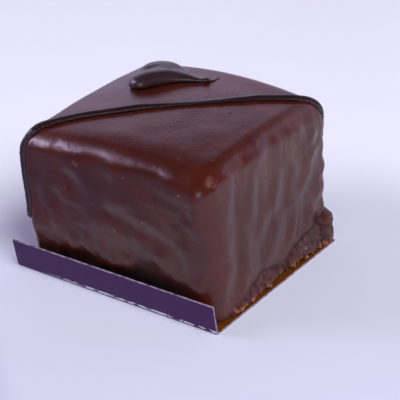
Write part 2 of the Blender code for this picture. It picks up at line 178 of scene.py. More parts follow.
# Piped line
LINE_ON_TOP = (
    (-0.99, -0.96), (-0.75, -0.72), (-0.46, -0.48), (-0.13, -0.20), (0.27, 0.15), (0.65, 0.54),
    (0.87, 0.78), (0.985, 0.90),
)
LINE_RADIUS = 0.95 * MM
LINE_RISE = 0.35 * MM
LINE_SPREAD = 0.55 * MM
LINE_LEFT_END = 15.5 * MM
LINE_BACK_END = 24.0 * MM
LINE_POINTS = 520
LINE_ROUNDING = 5
LINE_END_SHARE = 0.45
LINE_END_LENGTH = 0.012
LINE_START_WIDTH = 1.08
LINE_LAST_WIDTH = 0.86
LINE_RAGGED = 0.28 * MM
LINE_DRAGGED_SIDE = Vector((-0.6, 0.6, 0.5)).normalized()
LINE_RISE_FROM = (34.0 * MM, 38.0 * MM)
LINE_SPREAD_FROM = (36.0 * MM, 39.0 * MM)
LINE_SPREAD_FADE = (26.0 * MM, -18.0 * MM)
LINE_WALL_SHARE = 1.0 / 16.0

# Piped heart, in millimetres: two drops side by side that share a tip, each given by stations of
# its middle line with the half width and the height there
HEART_DROPS = (
    ((-12.5, 6.9, 3.40, 2.60), (-11.2, 8.5, 3.50, 2.90), (-8.6, 10.7, 3.15, 2.70),
     (-6.2, 12.1, 2.60, 2.00), (-2.9, 13.2, 1.60, 1.06), (0.4, 13.8, 0.85, 0.45),
     (2.0, 14.6, 0.90, 0.60)),
    ((-13.8, 13.3, 3.50, 2.98), (-12.3, 13.9, 3.60, 3.10), (-9.5, 14.3, 3.20, 2.80),
     (-6.5, 14.6, 2.20, 1.45), (-3.3, 14.7, 1.40, 0.62), (-0.1, 14.5, 0.85, 0.35),
     (2.0, 14.6, 0.80, 0.50)),
)
DROP_STEPS = 24
DROP_FULLNESS = 2.35
DROPS_MELT = 5.0
HEART_MIDDLE = Vector((-8.5, 12.8)) * MM
HEART_RIM = 0.35 * MM
HEART_REACH = 14.0 * MM
TAIL_TURN = math.radians(9.0)
TAIL_CROWDING = 0.6

# Wisp pulled from the heart's tip: places on the top, with its thickness at the root and at the end
WISP_ROUTE = tuple(Vector(place) * MM for place in (
    (1.2, 14.6), (2.2, 14.9), (2.9, 15.8), (3.0, 16.9), (3.0, 18.3),
))
WISP_ROOT = 0.42 * MM
WISP_END = 0.13 * MM
WISP_POINTS = 40
WISP_ROUNDING = 4
WISP_SUNK = 0.7

# Where the faces of the coating begin
TOP_FROM = (36.0 * MM, 37.5 * MM)
FRONT_FROM = (-20.0 * MM, -22.0 * MM)
RIGHT_FROM = (26.0 * MM, 28.0 * MM)

# Places of the marks on the coating, in millimetres, the marks' radius and spacing, and the share of
# the places that stay bare
TOP_PINHOLES = ((-3.9, -5.3), (8.6, -9.0), (18.3, -18.6), (25.5, -15.6), (16.8, 3.7), (13.4, 5.1))
RIGHT_PINHOLES = ((-10.4, 16.9), (-18.0, 16.7), (-12.9, 33.6), (-1.3, 29.5))
RIGHT_RED_SPECKS = ((21.4, 38.2), (13.4, 14.4), (15.8, 24.4))
FRONT_PALE_SPECKS = ((-10.3, 36.6), (10.6, 23.1), (5.9, 33.5), (1.7, 18.7), (18.0, 8.5), (21.8, 33.0))
FRONT_WARM_PATCHES = ((-13.8, 25.9), (-8.7, 33.6))
# The corner patch is a light brown spot on the coating and partly a painted highlight on the front corner
CORNER_WARM_AND_HIGHLIGHT_PATCH = (28.2, -19.9, 36.2)
TOP_PINHOLE = 0.33 * MM
RIGHT_PINHOLE = 0.34 * MM
PALE_SPECK = 0.26 * MM
RED_SPECK = 0.36 * MM
WARM_PATCH = 1.3 * MM
CORNER_WARM_AND_HIGHLIGHT_RADIUS = 1.9 * MM
PINHOLE_SPACING = 5.5 * MM
SPECK_SPACING = 4.6 * MM
BARE_SHARE = 0.72

# Colours of the coating and of the crumb
COATING_DARK = (0.052, 0.0078, 0.0040, 1.0)
COATING_LIGHT = (0.074, 0.0122, 0.0068, 1.0)
COATING_FLECK = (0.042, 0.0072, 0.0044, 1.0)
# Light warm brown of the front's warm patches, and of the corner patch that is partly a painted highlight
COATING_WARM_AND_HIGHLIGHT = (0.18, 0.058, 0.044, 1.0)
CRUMB_DARK = (0.046, 0.013, 0.011, 1.0)
CRUMB_LIGHT = (0.092, 0.032, 0.027, 1.0)
CRUMB_GREY = (0.060, 0.026, 0.025, 1.0)
# Painted highlight: pale spots on the grey broken crumb
CRUMB_PAINTED_HIGHLIGHT = (0.150, 0.095, 0.095, 1.0)
CRUMB_RIM = (0.27, 0.088, 0.036, 1.0)
# Painted shade: near black, laid in the hollows under the front's lower edge, in the foot's cracks and under
# its rim
PAINTED_HOLLOW_SHADE = (0.007, 0.0016, 0.0008, 1.0)
PINHOLE_DARK = (0.012, 0.003, 0.003, 1.0)
SPECK_PALE = (0.50, 0.36, 0.34, 1.0)
SPECK_RED = (0.24, 0.008, 0.012, 1.0)
LOOSE_CRUMB_DARK = (0.14, 0.042, 0.018, 1.0)
LOOSE_CRUMB_LIGHT = (0.46, 0.21, 0.085, 1.0)
GREY_CRUMB_START = (9.0 * MM, 13.0 * MM)
GREY_CRUMB_END = (20.6 * MM, 20.0 * MM)
GREY_CRUMB_ABOVE = (2.0 * MM, 3.4 * MM)
CRUMB_RIM_BELOW = (2.9 * MM, 1.5 * MM)

# Colours of the piping and of the card
LINE_SHADE = (0.019, 0.0052, 0.0054)
HEART_SHADE = (0.031, 0.0116, 0.0120)
GOLD_DARK = (0.40, 0.112, 0.012, 1.0)
GOLD_LIGHT = (0.52, 0.165, 0.020, 1.0)
PURPLE_DARK = (0.042, 0.0100, 0.064, 1.0)
PURPLE_LIGHT = (0.062, 0.0160, 0.090, 1.0)
WORN_PRINT = (0.66, 0.62, 0.70, 1.0)
BOARD_DARK = (0.09, 0.05, 0.10, 1.0)
BOARD_LIGHT = (0.34, 0.27, 0.33, 1.0)
LIP_EDGE = 0.6 * MM
WORN_BELOW = (1.25 * MM, 0.95 * MM)
WORN_ABOVE = (0.3 * MM, 0.55 * MM)
WORN_FROM = (-24.0 * MM, -6.0 * MM)

# Floor and room, with the ways that the camera sees as behind, to the far right and in front; places in
# the room are sines of the angle above the horizon and cosines of the angle from a way
BEHIND = (-0.625, 0.781, 0.0)
FAR_RIGHT = (0.625, 0.781, 0.0)
IN_FRONT = (-0.625, -0.781, 0.0)
# The floor's colours paint light and shade: lighter behind and to the right of the cake, darker far in front
# of it
SHEET_NEAR = (0.730, 0.747, 0.830, 1.0)
SHEET_LIT_BEHIND = (0.950, 0.965, 0.99, 1.0)
SHEET_LIT_RIGHT = (0.95, 0.95, 0.99, 1.0)
SHEET_SHADE_IN_FRONT = (0.33, 0.31, 0.44, 1.0)
BEHIND_FROM = (10.0 * MM, 65.0 * MM)
RIGHT_SHEET_FROM = (55.0 * MM, 90.0 * MM)
IN_FRONT_FROM = (46.0 * MM, 65.0 * MM)
SKY_BEHIND = (-0.6, 0.8, 0.0)
SKY_RIGHT = (0.78, 0.625, 0.0)
ROOM_DIM = (0.050, 0.046, 0.062, 1.0)
ROOM_BRIGHT = (1.24, 1.11, 1.64, 1.0)
GLOW_BELOW = (0.600, 0.530)
GLOW_BEHIND_FROM = (-0.05, 0.25)
LOW_LOSS_BELOW = (0.50, 0.38)
LOW_LOSS = 0.32
LEFT_LOSS_FROM = (-0.12, -0.50)
LEFT_LOSS = 0.28

# Crumbs that cling to the torn foot, along the right wall
CRUMBS = 44
CLUSTER = 9
CLUSTER_PLACE = 8.2 * MM
CLUSTER_WIDTH = 3.0 * MM
CRUMB_RADIUS = 0.40 * MM
CLUSTER_RADIUS = 1.5 * CRUMB_RADIUS
CRUMB_START = -19.0 * MM
CRUMB_END = 24.0 * MM


# Hand tools

def start_piece():
    """Leaves nothing selected, in object mode."""
    if bpy.context.object and bpy.context.object.mode != "OBJECT":
        bpy.ops.object.mode_set(mode="OBJECT")
    bpy.ops.object.select_all(action="DESELECT")


def name_piece(name):
    piece = bpy.context.object
    piece.name = name
    piece.data.name = name
    return piece


def settle(piece):
    """Puts a piece's place, turn and scale into its mesh, with its faces outwards."""
    start_piece()
    piece.select_set(True)
    bpy.context.view_layer.objects.active = piece
    bpy.ops.object.transform_apply(location=True, rotation=True, scale=True)
    bpy.ops.object.mode_set(mode="EDIT")
    bpy.ops.mesh.select_all(action="SELECT")
    bpy.ops.mesh.remove_doubles(threshold=0.000002)
    bpy.ops.mesh.normals_make_consistent(inside=False)
    bpy.ops.object.mode_set(mode="OBJECT")
    bpy.ops.object.shade_smooth()


def cut_edges_along(piece, axis, cells):
    """Cuts every edge that runs along an axis into equal cells."""
    bpy.ops.object.mode_set(mode="EDIT")
    bpy.ops.mesh.select_mode(type="EDGE")
    bpy.ops.mesh.select_all(action="DESELECT")
    form = bmesh.from_edit_mesh(piece.data)
    for edge in form.edges:
        run = edge.verts[1].co - edge.verts[0].co
        edge.select_set(abs(run[axis]) > 0.9 * run.length)
    bmesh.update_edit_mesh(piece.data)
    bpy.ops.mesh.subdivide(number_cuts=cells - 1)
    bpy.ops.object.mode_set(mode="OBJECT")


def kept_inside(point, box):
    """A point, brought back into a box where it lies outside."""
    low, high = box
    return [min(max(p, a), b) for p, a, b in zip(point, low, high)]


def start_tube(name, thickness, rounding, points):
    """A round tube with closed ends along a path, whose points are placed afterwards."""
    start_piece()
    bpy.ops.curve.primitive_nurbs_path_add()
    tube = name_piece(name)
    curve = tube.data
    curve.splines.clear()
    curve.dimensions = "3D"
    curve.bevel_depth = thickness
    curve.bevel_resolution = rounding
    curve.use_fill_caps = True
    spline = curve.splines.new("POLY")
    spline.points.add(points - 1)
    return tube, spline


def add_measure(piece, name, values):
    """Keeps one number for each point of a piece, which its finish reads."""
    layer = piece.data.attributes.new(name, "FLOAT", "POINT")
    layer.data.foreach_set("value", values)


def blend(a, b, share):
    return a + (b - a) * share


def smooth_step(low, high, x):
    share = min(max((x - low) / (high - low), 0.0), 1.0)
    return share * share * (3.0 - 2.0 * share)


def hump(x, width):
    return math.exp(-((x / width) ** 2))


def along_line(line, x):
    if x <= line[0][0]:
        return line[0][1]
    for (x0, z0), (x1, z1) in zip(line, line[1:]):
        if x <= x1:
            return blend(z0, z1, smooth_step(x0, x1, x))
    return line[-1][1]


def wander(x, y, seed):
    return noise.noise(Vector((x, y, seed)))


# Relief of the walls

def distance_to(line, x, z):
    """How far a place is from a line of points."""
    nearest = 1000.0
    for (x0, z0), (x1, z1) in zip(line, line[1:]):
        run, rise = x1 - x0, z1 - z0
        share = ((x - x0) * run + (z - z0) * rise) / (run * run + rise * rise)
        share = min(max(share, 0.0), 1.0)
        nearest = min(nearest, math.hypot(x - x0 - share * run, z - z0 - share * rise))
    return nearest


def run_relief(along, z, seed):
    """Crests where coating ran down the wall, with lumps between them."""
    x, y = along / MM, z / MM
    crests = 0.0
    for line, half, height in RUNS:
        crests += RUN_SHARE * height * hump(distance_to(line, x, y), RUN_BREADTH * half)
    lumps = wander(along / 4.0 / MM, z / 5.5 / MM, seed + 3.0)
    fine = wander(along / 1.8 / MM, z / 3.0 / MM, seed + 8.0)
    shift = 1.2 + 2.5 * wander(along / 6.0 / MM, z / 9.0 / MM, seed + 12.0)
    scallops = math.sin(z / SCALLOP_HEIGHT * 2.0 * math.pi + shift) * smooth_step(*SCALLOPS_ABOVE, z)
    scallops *= SCALLOP_DEPTH * smooth_step(*SCALLOPS_FROM, along)
    below_rim = smooth_step(*RELIEF_FADE, z)
    uneven = RUN_LUMPS * (lumps + 0.16 * fine) + scallops
    return crests * MM - RUN_FLOOR + uneven * below_rim


def swell_relief(along, z, seed):
    """Low swells, drawn out along the wall."""
    level = z + SWELL_SLOPE * along
    broad = wander(along / SWELL_LENGTH, level / SWELL_WIDTH, seed)
    small = wander(along / SWELL_LENGTH * 2.2, level / SWELL_WIDTH * 2.0, seed + 5.0)
    drips = wander(along / 3.2 / MM, z / 14.0 / MM, seed + 9.0) * smooth_step(*DRIPS_BELOW, z)
    return SWELL_DEPTH * (broad + 0.30 * small) + DRIP_DEPTH * drips


def dimple_relief(along, z):
    """Shallow dents, drawn out on a slope."""
    dents = 0.0
    for x, level, length, width, depth in DIMPLES:
        aside, above = along / MM - x, z / MM - level
        run = aside * math.cos(DIMPLE_SLOPE) + above * math.sin(DIMPLE_SLOPE)
        across = above * math.cos(DIMPLE_SLOPE) - aside * math.sin(DIMPLE_SLOPE)
        soft_length, soft_width = DIMPLE_SOFTNESS[0] * length, DIMPLE_SOFTNESS[1] * width
        dents += DIMPLE_SHARE * depth * hump(run, soft_length) * hump(across, soft_width)
    return -dents * MM


def foot_height(along):
    ragged = FOOT_RAGGED * wander(along / 0.9 / MM, 3.0, 61.0)
    line = along_line(FOOT_LINE, along)
    return line + ragged * smooth_step(0.5 * MM, 2.0 * MM, line)


def undercut_height(along):
    return along_line(UNDERCUT_LINE, along) + UNDERCUT_RAGGED * wander(along / 2.6 / MM, 1.0, 33.0)


def left_height(along):
    return LEFT_UNDERCUT_HEIGHT + LEFT_UNDERCUT_RAGGED * wander(along / 6.0 / MM, 0.0, 47.0)


def crumb_relief(along, z):
    """Lumps and pits of broken crumb."""
    lumps = wander(along / 2.2 / MM, z / 1.9 / MM, 53.0)
    pits = wander(along / 0.8 / MM, z / 0.8 / MM, 57.0)
    beaded = smooth_step(*BEADS_START, along) * smooth_step(*BEADS_END, along)
    beads = abs(wander(along / 1.5 / MM, z / 1.5 / MM, 59.0)) * beaded
    return FOOT_ROUGHNESS * (1.5 * lumps + 0.6 * pits + 2.3 * beads)


def foot_relief(along, z):
    height = foot_height(along)
    if z > height:
        return -FOOT_CREVICE * hump(z - height, 0.3 * MM) * smooth_step(0.5 * MM, 3.0 * MM, height)
    corner = smooth_step(*FAR_PIECE_FROM, along)
    slope = 1.0 - (z / height) ** blend(4.0, 7.0, corner)
    reach = blend(FOOT_REACH, FOOT_CORNER_REACH, corner) + crumb_relief(along, z)
    reach -= CRACK_DEPTH * crack_share(along, z)
    return reach * slope - FOOT_CREVICE * hump(z - height, 0.5 * MM)


def crevice_share(along, z):
    """1 in the crack between the coating's edge and the foot."""
    height = foot_height(along)
    return hump(z - height, 0.35 * MM) * smooth_step(1.8 * MM, 6.5 * MM, height)


def crack_share(along, z):
    """1 in the upright crack beside the far corner's piece."""
    return hump(along - CRACK_PLACE, 0.4 * MM) * smooth_step(0.2 * MM, -0.6 * MM, z - foot_height(along))


def rim_sunk(along, z):
    """1 below the foot's ragged lower rim, which stands clear of the card."""
    rim = along_line(RIM_LINE, along) + RIM_RAGGED * wander(along / 1.0 / MM, 2.0, 71.0)
    return smooth_step(0.12 * MM, -0.12 * MM, z - rim)


def run_wall(along, z, seed):
    flare = FLARE_REACH * math.exp(-z / FLARE_HEIGHT) * smooth_step(*FLARE_FADE, along)
    stand = run_relief(along, z, seed) + max(foot_relief(along, z), flare)
    return stand - RIM_UNDERCUT * rim_sunk(along, z)


def front_sunk(along, z):
    """1 where the front wall is cut under, and 0 on its coating."""
    fade = smooth_step(*UNDERCUT_RIGHT_FADE, along)
    fade *= blend(0.4, 1.0, smooth_step(*UNDERCUT_LEFT_FADE, along))
    soft = smooth_step(*UNDERCUT_SOFT_FROM, along)
    start, end = blend(1.22, 1.3, soft), blend(0.62, 0.45, soft)
    return fade * smooth_step(start, end, z / undercut_height(along))


def left_sunk(along, z):
    return 0.4 * smooth_step(1.05, 0.8, z / left_height(along))


def front_wall(along, z):
    sunk = UNDERCUT_DEPTH * front_sunk(along, z)
    return dimple_relief(along, z) + swell_relief(along, z, 23.0) - sunk


def left_wall(along, z):
    return swell_relief(along, z, 14.0) - UNDERCUT_DEPTH * left_sunk(along, z)


def back_place(x):
    shared_corner = CAKE_CENTRE + Vector((CAKE_WIDTH, CAKE_DEPTH, 0.0)) / 2
    return x - shared_corner.x + shared_corner.y


def wall_relief(place, z, out):
    side = run_wall(place.y, z, 2.0) if out.x > 0.0 else left_wall(place.y, z)
    end = run_wall(back_place(place.x), z, 2.0) if out.y > 0.0 else front_wall(place.x, z)
    return side * out.x**2 + end * out.y**2


def foot_top(place, out):
    side = foot_height(place.y) if out.x > 0.0 else left_height(place.y)
    end = foot_height(back_place(place.x)) if out.y > 0.0 else undercut_height(place.x)
    return max(side * out.x**2 + end * out.y**2, LEAST_FOOT)


def torn_share(place, z, out):
    """1 on the torn foot and 0 on the coating."""
    side = foot_height(place.y) if out.x > 0.0 else 0.0
    end = foot_height(back_place(place.x)) if out.y > 0.0 else 0.0
    height = side * out.x**2 + end * out.y**2
    return smooth_step(0.15 * MM, -0.15 * MM, z - height) if height > 0.0 else 0.0


def foot_hollows(along, z):
    """1 in the foot's cracks and under its rim."""
    return max(rim_sunk(along, z), 0.85 * crevice_share(along, z), 0.8 * crack_share(along, z))


def hollow_shade_share(place, z, out):
    """1 in the hollows under the front's lower edge and under the foot's rim, where shade is painted into
    the colour, and 0 elsewhere.
    """
    side = foot_hollows(place.y, z) if out.x > 0.0 else 0.0
    end = foot_hollows(back_place(place.x), z) if out.y > 0.0 else 0.0
    if out.y < 0.0:
        end = front_sunk(place.x, z) * smooth_step(*HOLLOW_SHADE_FROM, place.x)
    return side * out.x**2 + end * out.y**2


# The cake's surface, from a place on a cube that runs from -1 to 1

def outline_point(u, v, inset):
    corner = FRONT_CORNER_RADIUS if u > 0.0 > v else CORNER_RADIUS
    rim = FRONT_RIM_RADIUS if u > 0.0 > v else RIM_CORNER_RADIUS
    radius = blend(corner, rim, inset / TOP_FILLET)
    half = Vector((CAKE_WIDTH, CAKE_DEPTH)) / 2 - Vector((inset, inset))
    on_side_wall = abs(u) >= abs(v)
    if not on_side_wall:
        half = half.yx
    share = min(abs(u), abs(v))
    bend = 1.0 - CORNER_SHARE
    turn = math.radians(45.0) * max(share - bend, 0.0) / (1.0 - bend)
    run = min(share / bend, 1.0) * (half.y - radius) + radius * math.sin(turn)
    place = Vector((half.x - radius + radius * math.cos(turn), run))
    out = Vector((math.cos(turn), math.sin(turn)))
    if not on_side_wall:
        place, out = place.yx, out.yx
    signs = Vector((math.copysign(1.0, u), math.copysign(1.0, v)))
    return place * signs + CAKE_CENTRE.xy, out * signs


def top_height(place):
    across = 2.0 * (place.x - CAKE_CENTRE.x) / CAKE_WIDTH
    along = 2.0 * (place.y - CAKE_CENTRE.y) / CAKE_DEPTH
    sides = (SIDE_DROP + SIDE_DROP_GAIN * along) * across**2 - SIDE_TILT * across
    roll = FRONT_ROLL * (max(FRONT_ROLL_FROM - place.y, 0.0) / FRONT_ROLL_WIDTH) ** 2
    return TOP_HEIGHT - sides - END_DROP * along**2 + END_TILT * along - roll


def top_point(u, v):
    ring = max(abs(u), abs(v))
    half = Vector((CAKE_WIDTH, CAKE_DEPTH)) / 2 - Vector((TOP_FILLET, TOP_FILLET))
    place = Vector((u, v)) * half + CAKE_CENTRE.xy
    if ring > 0.0:
        rim, _ = outline_point(u / ring, v / ring, TOP_FILLET)
        place = place.lerp(CAKE_CENTRE.xy.lerp(rim, ring), ring**4)
    uneven = noise.noise(Vector((place.x, place.y, 9.0 * MM)) / (7.0 * MM)) * TOP_UNEVENNESS
    return Vector((*place, top_height(place) + uneven * smooth_step(1.0, 0.8, ring)))


def wall_point(u, v, level):
    """A point of the wall and its marks, at a level: 0 base, 1 foot's top, 2 fillet's foot, 3 top."""
    angle = math.radians(90.0) * max(level - 2.0, 0.0)
    place, out = outline_point(u, v, TOP_FILLET * (1.0 - math.cos(angle)))
    fillet_foot = top_height(place) - TOP_FILLET
    foot = foot_top(place, out)
    if level > 2.0:
        z = fillet_foot + TOP_FILLET * math.sin(angle)
    elif level > 1.0:
        z = blend(foot, fillet_foot, level - 1.0)
    else:
        z = blend(CAKE_BASE, foot, level)
    stand = wall_relief(place, z, out) * math.cos(angle)
    marks = (torn_share(place, z, out), hollow_shade_share(place, z, out))
    return Vector((*(place + out * stand), z)), marks


def row_level(w):
    """The level of a row of the cube's skin."""
    row = (w + 1.0) / 2.0 * (FOOT_CELLS + WALL_CELLS + FILLET_CELLS)
    if row <= FOOT_CELLS:
        return row / FOOT_CELLS
    if row <= FOOT_CELLS + WALL_CELLS:
        return 1.0 + (row - FOOT_CELLS) / WALL_CELLS
    return 2.0 + (row - FOOT_CELLS - WALL_CELLS) / FILLET_CELLS


def make_body():
    """The coated cake: a cube cut into a fine skin, with every point moved to the cake's surface."""
    start_piece()
    bpy.ops.mesh.primitive_cube_add(size=2.0)
    body = name_piece("gateau_body")
    for axis, cuts in enumerate((SIDE_CUTS, SIDE_CUTS, ROW_CUTS)):
        for cells in cuts:
            cut_edges_along(body, axis, cells)
    bpy.ops.object.mode_set(mode="EDIT")
    bpy.ops.mesh.select_mode(type="VERT")
    bpy.ops.mesh.select_all(action="DESELECT")
    form = bmesh.from_edit_mesh(body.data)
    for v in form.verts:
        v.select_set(v.co.z < -0.999 and max(abs(v.co.x), abs(v.co.y)) < 0.999)
    bmesh.update_edit_mesh(body.data)
    bpy.ops.mesh.dissolve_verts()
    bpy.ops.object.mode_set(mode="OBJECT")
    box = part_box("gateau")
    marks = []
    for v in body.data.vertices:
        if v.co.z >= 0.9999:
            point, mark = top_point(v.co.x, v.co.y), (0.0, 0.0)
        else:
            point, mark = wall_point(v.co.x, v.co.y, row_level(v.co.z))
        v.co = kept_inside(point, box)
        marks.append(mark)
    # torn marks the crumb of the foot; sunk marks the hollows, which the finish colours with painted shade
    for name, values in zip(("torn", "sunk"), zip(*marks)):
        add_measure(body, name, values)
    settle(body)
    return body


# Piped line

def smooth_curve_point(points, place):
    low = min(int(place), len(points) - 2)
    t = place - low
    a, b = points[low], points[low + 1]
    before = points[low - 1] if low else 2.0 * a - b
    after = points[low + 2] if low + 2 < len(points) else 2.0 * b - a
    pull = 2.0 * before - 5.0 * a + 4.0 * b - after
    bend = 3.0 * (a - b) + after - before
    return a + 0.5 * ((b - before) * t + pull * t**2 + bend * t**3)


def line_route():
    """The line's way over the cake: up the left corner, across the top and down the back wall."""

    def level_at(z, foot):
        return 1.0 + (z - foot) / (TOP_HEIGHT - SIDE_DROP - TOP_FILLET - foot)

    left_end = level_at(LINE_LEFT_END, LEFT_UNDERCUT_HEIGHT)
    back_end = level_at(LINE_BACK_END, FOOT_LINE[-1][1])
    route = [wall_point(-1.0, -1.0, blend(left_end, 2.0, step / 4))[0] for step in range(5)]
    route += [wall_point(-1.0, -1.0, 2.0 + share)[0] for share in (0.35, 0.7)]
    route += [top_point(u, v) for u, v in LINE_ON_TOP]
    route.append(wall_point(1.0, 0.97, 2.65)[0])
    route.append(wall_point(1.0, 1.0, 2.3)[0])
    route.append(wall_point(0.93, 1.0, 2.0 - LINE_WALL_SHARE)[0])
    route.append(wall_point(0.88, 1.0, back_end)[0])
    return route


def make_line():
    """The piped line: a tube along its route, with a ragged side where it was dragged."""
    route = line_route()
    line, spline = start_tube("piped_line", LINE_RADIUS, LINE_ROUNDING, LINE_POINTS)
    for k, point in enumerate(spline.points):
        share = k / (LINE_POINTS - 1)
        place = smooth_curve_point(route, share * (len(route) - 1))
        place.z += LINE_RISE * smooth_step(*LINE_RISE_FROM, place.z)
        point.co = (*place, 1.0)
        end = min(share, 1.0 - share)
        point.radius = blend(LINE_END_SHARE, 1.0, smooth_step(0.0, LINE_END_LENGTH, end))
        uneven = 0.07 * wander(share * 60.0, 0.0, 5.0)
        point.radius *= blend(LINE_START_WIDTH, LINE_LAST_WIDTH, share) + uneven
    bpy.ops.object.convert(target="MESH")
    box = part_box("gateau")
    for v in line.data.vertices:
        ragged = noise.noise(v.co / (0.6 * MM)) * 0.6 + noise.noise(v.co / (0.35 * MM)) * 0.6
        side = smooth_step(0.2, -0.6, v.normal.dot(LINE_DRAGGED_SIDE))
        flat = smooth_step(*LINE_SPREAD_FROM, v.co.z) * smooth_step(*LINE_SPREAD_FADE, v.co.x)
        spread = LINE_SPREAD * flat * Vector((v.normal.x, v.normal.y, 0.0))
        v.co = kept_inside(v.co + spread + v.normal * LINE_RAGGED * ragged * side, box)
    settle(line)
    return line


# Piped heart

def drop_stations(drop):
    """Close stations on a smooth line through a drop's own ones."""
    points = [Vector(station) * MM for station in drop]
    last = len(points) - 1
    return [smooth_curve_point(points, last * k / DROP_STEPS) for k in range(DROP_STEPS + 1)]


def drop_crown(place, stations):
    """The height of one drop above its rim at a place, and 0 outside it."""
    crown = 0.0
    for a, b in zip(stations, stations[1:]):
        way = b.xy - a.xy
        share = min(max((place - a.xy).dot(way) / way.length_squared, 0.0), 1.0)
        middle = a.lerp(b, share)
        off = (place - middle.xy).length / middle.z
        crown = max(crown, middle.w * max(1.0 - off**DROP_FULLNESS, 0.0) ** (1.0 / DROP_FULLNESS))
    return crown


def heart_crown(place, drops):
    """The height of both drops, which melt into each other where they meet."""
    crowns = [drop_crown(place, stations) / MM for stations in drops]
    return sum(crown**DROPS_MELT for crown in crowns) ** (1.0 / DROPS_MELT) * MM


def heart_edge(direction, drops):
    """How far the heart's edge is from its middle in a direction."""
    near, far = 0.0, HEART_REACH
    for _ in range(24):
        reach = (near + far) / 2
        if heart_crown(HEART_MIDDLE + direction * reach, drops) > 0.0:
            near = reach
        else:
            far = reach
    return near


def heart_direction(place):
    """The direction of a point of the ball, drawn towards the tail."""
    turn = math.atan2(place.y, place.x)
    turn -= TAIL_CROWDING * math.sin(turn - TAIL_TURN)
    return Vector((math.cos(turn), math.sin(turn)))


def make_heart():
    """A sphere moved to the heart's outline and crown, with its points crowded towards the tail."""
    start_piece()
    bpy.ops.mesh.primitive_uv_sphere_add(segments=160, ring_count=64, radius=1.0)
    heart = name_piece("piped_heart")
    drops = [drop_stations(drop) for drop in HEART_DROPS]
    edges = {}
    for v in heart.data.vertices:
        ring = math.asin(min(v.co.xy.length, 1.0)) / math.radians(90.0)
        direction = heart_direction(v.co.xy)
        key = round(math.atan2(v.co.y, v.co.x), 4)
        if key not in edges:
            edges[key] = heart_edge(direction, drops)
        place = HEART_MIDDLE + direction * edges[key] * ring
        z = top_height(place) + REST_GAP
        if v.co.z > -0.001:
            z += HEART_RIM + heart_crown(place, drops)
        v.co = (*place, z)
    settle(heart)
    return heart


def make_wisp():
    """The thin thread that came off the nozzle at the heart's tip."""
    wisp, spline = start_tube("heart_wisp", 1.0, WISP_ROUNDING, WISP_POINTS)
    for k, point in enumerate(spline.points):
        share = k / (WISP_POINTS - 1)
        place = smooth_curve_point(WISP_ROUTE, share * (len(WISP_ROUTE) - 1))
        point.radius = blend(WISP_ROOT, WISP_END, share**0.6)
        point.co = (*place, top_height(place) + WISP_SUNK * point.radius, 1.0)
    bpy.ops.object.convert(target="MESH")
    settle(wisp)
    return wisp


# Crumbs

def make_crumbs():
    """Broken crumbs, half sunk in the foot's lower rim, with a few larger ones together."""
    crumbs = []
    for k in range(CRUMBS):
        chance = [noise.cell(Vector((k + 0.5, axis + 0.5, 3.5))) for axis in range(5)]
        clustered = k < CLUSTER
        along = blend(CRUMB_START, CRUMB_END, (k + chance[0]) / CRUMBS)
        if clustered:
            along = CLUSTER_PLACE + (chance[0] - 0.5) * CLUSTER_WIDTH
        height = along_line(RIM_LINE, along) + 0.5 * MM * chance[1]
        side, _ = outline_point(1.0, 2.0 * (along - CAKE_CENTRE.y) / CAKE_DEPTH, 0.0)
        out = side.x + run_wall(along, height + 0.6 * MM, 2.0) - 0.15 * MM
        radius = blend(0.4, 1.0, chance[2]) * (CLUSTER_RADIUS if clustered else CRUMB_RADIUS)
        start_piece()
        bpy.ops.mesh.primitive_ico_sphere_add(
            subdivisions=3, radius=radius, location=(out, along, height),
            rotation=(6.0 * chance[3], 6.0 * chance[4], 0.0), scale=(1.0, blend(0.8, 1.6, chance[3]), 0.7),
        )
        crumb = bpy.context.object
        for v in crumb.data.vertices:
            v.co += v.co * 0.5 * noise.noise(v.co / (0.3 * MM) + Vector((k, 0.0, 0.0)))
        crumbs.append(crumb)
    start_piece()
    for crumb in crumbs:
        crumb.select_set(True)
    bpy.context.view_layer.objects.active = crumbs[0]
    bpy.ops.object.join()
    piece = name_piece("foot_crumbs")
    settle(piece)
    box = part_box("gateau")
    for v in piece.data.vertices:
        v.co = kept_inside(v.co, box)
    return piece


# Shader maths

class Wire:
    """A socket of a bench, on which sums are written."""

    def __init__(self, bench, socket):
        self.bench = bench
        self.socket = socket

    def sum_of(self, operation, a, b):
        return self.bench.node("ShaderNodeMath", {"operation": operation}, {0: a, 1: b})

    def __add__(self, other):
        return self.sum_of("ADD", self, other)

    __radd__ = __add__

    def __sub__(self, other):
        return self.sum_of("SUBTRACT", self, other)

    def __rsub__(self, other):
        return self.sum_of("SUBTRACT", other, self)

    def __mul__(self, other):
        return self.sum_of("MULTIPLY", self, other)

    __rmul__ = __mul__

    def __truediv__(self, other):
        return self.sum_of("DIVIDE", self, other)

    def __gt__(self, other):
        return self.sum_of("GREATER_THAN", self, other)

    def __pow__(self, other):
        return self.sum_of("POWER", self, other)


